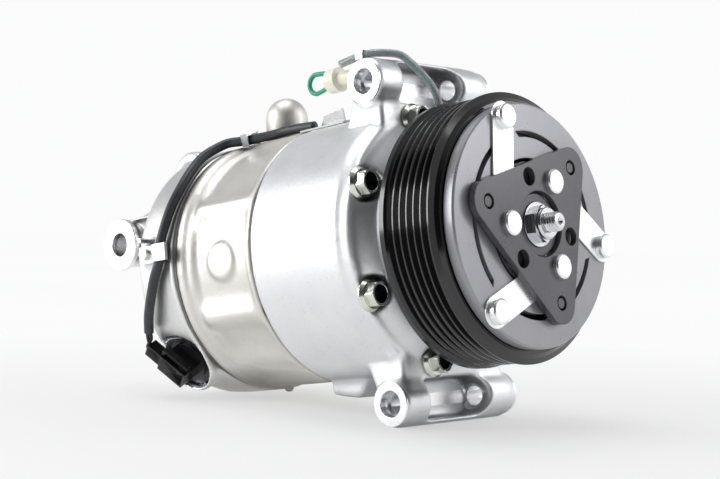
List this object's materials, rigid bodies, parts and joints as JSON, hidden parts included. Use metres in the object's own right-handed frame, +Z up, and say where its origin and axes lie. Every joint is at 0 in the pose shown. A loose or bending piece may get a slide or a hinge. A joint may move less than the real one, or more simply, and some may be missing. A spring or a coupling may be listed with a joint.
{
  "type": "air conditioning compressor",
  "caption": "Variable-displacement swash-plate compressor with a ribbed belt pulley, an electromagnetic clutch, three mounting lugs and a wired control valve.",
  "frame": {"origin": "on the shaft axis, midway between the axes of the two front lug bores", "axes": "+X along the shaft towards the clutch, +Y towards the ports and away from the near lug faces, +Z up through the upper front lug"},
  "size_m": [0.2262, 0.1213, 0.1569],
  "materials": {
    "cast_front": "die-cast aluminium, satin, slightly cool",
    "cast_block": "die-cast aluminium, blasted, slightly warm",
    "cast_head": "die-cast aluminium, blasted",
    "gasket": "coated steel gasket, matte dark grey",
    "seal_rubber": "matte black rubber",
    "spring_steel": "phosphated spring steel",
    "plain_steel": "ground steel",
    "bearing_steel": "ground bearing steel",
    "bolt_zinc": "yellow-green zinc plating",
    "bright_zinc": "bright zinc plating",
    "strap_zinc": "bright zinc-plated strip",
    "coil_copper": "resin-filled copper winding",
    "coil_steel": "plated mild steel",
    "pulley_black": "gloss black coating",
    "clutch_grey": "mid-grey semi-gloss coating",
    "piston_alloy": "coated aluminium",
    "shoe_steel": "hardened steel",
    "black_plastic": "moulded black plastic",
    "cable_jacket": "satin dark blue-grey jacket",
    "clear_sleeve": "clear plastic tube",
    "green_wire": "green insulation with a yellow stripe",
    "ivory_plastic": "ivory nylon",
    "relief_brass": "brass"
  },
  "bodies": {
    "case": {"front_housing": "cast_front", "cylinder_block": "cast_block", "rear_head": "cast_head", "block_oring": "seal_rubber", "head_gasket": "gasket", "valve_plate": "plain_steel", "discharge_reeds": "spring_steel", "housing_bolts": "bolt_zinc", "lug_sleeves": "plain_steel", "field_coil": "coil_copper", "coil_shell": "coil_steel", "coil_snap_ring": "spring_steel", "bearing_inner_race": "bearing_steel", "bearing_snap_ring": "spring_steel", "shaft_seal": "seal_rubber", "seal_snap_ring": "spring_steel", "front_shaft_bearing": "bearing_steel", "rear_shaft_bearing": "bearing_steel", "front_thrust_bearing": "bearing_steel", "rear_thrust_bearing": "bearing_steel", "pistons": "piston_alloy", "piston_shoes": "shoe_steel", "control_valve": "black_plastic", "valve_snap_ring": "spring_steel", "valve_connector": "black_plastic", "valve_cable": "cable_jacket", "cable_clamp": "strap_zinc", "clamp_screw": "bolt_zinc", "locating_pin": "plain_steel", "cable_clip": "strap_zinc", "wire_bracket": "strap_zinc", "coil_lead_sleeve": "clear_sleeve", "sleeve_clip": "strap_zinc", "coil_leads": "green_wire", "lead_cap": "ivory_plastic", "loop_wire": "green_wire", "relief_valve": "relief_brass"},
    "pulley": {"pulley": "pulley_black", "bearing_outer_race": "bearing_steel", "bearing_seals": "seal_rubber"},
    "ball_cage": {"bearing_balls": "bearing_steel", "bearing_cage": "bearing_steel"},
    "shaft": {"shaft": "plain_steel", "stop_ring": "spring_steel", "lug_plate": "plain_steel", "swash_plate": "shoe_steel", "hinge_pin": "plain_steel", "gap_shim": "plain_steel", "clutch_hub": "clutch_grey", "leaf_springs": "bright_zinc", "hub_plate": "clutch_grey", "inner_rivets": "bright_zinc", "shaft_nut": "bright_zinc", "nut_washer": "bright_zinc"},
    "armature": {"armature": "clutch_grey", "outer_rivets": "bright_zinc", "stop_pins": "bright_zinc"},
    "spool": {"valve_spool": "plain_steel"}
  },
  "joints": [
    {"name": "pulley_spin", "type": "hinge", "parent": "case", "child": "pulley", "pos_m": [0.0332, 0, 0], "axis": [1, 0, 0], "continuous": true},
    {"name": "ball_spin", "type": "hinge", "parent": "case", "child": "ball_cage", "pos_m": [0.0332, 0, 0], "axis": [1, 0, 0], "continuous": true},
    {"name": "shaft_spin", "type": "hinge", "parent": "case", "child": "shaft", "pos_m": [0, 0, 0], "axis": [1, 0, 0], "continuous": true},
    {"name": "armature_pull", "type": "slide", "parent": "shaft", "child": "armature", "axis": [1, 0, 0], "range_m": [-0.00045, 0], "deforming": ["leaf_springs"]},
    {"name": "spool_slide", "type": "slide", "parent": "case", "child": "spool", "axis": [0, -0.891, -0.454], "range_m": [0, 0.001]}
  ],
  "couplings": [
    {"joint": "ball_spin", "follows": "pulley_spin", "ratio": 0.5756}
  ]
}
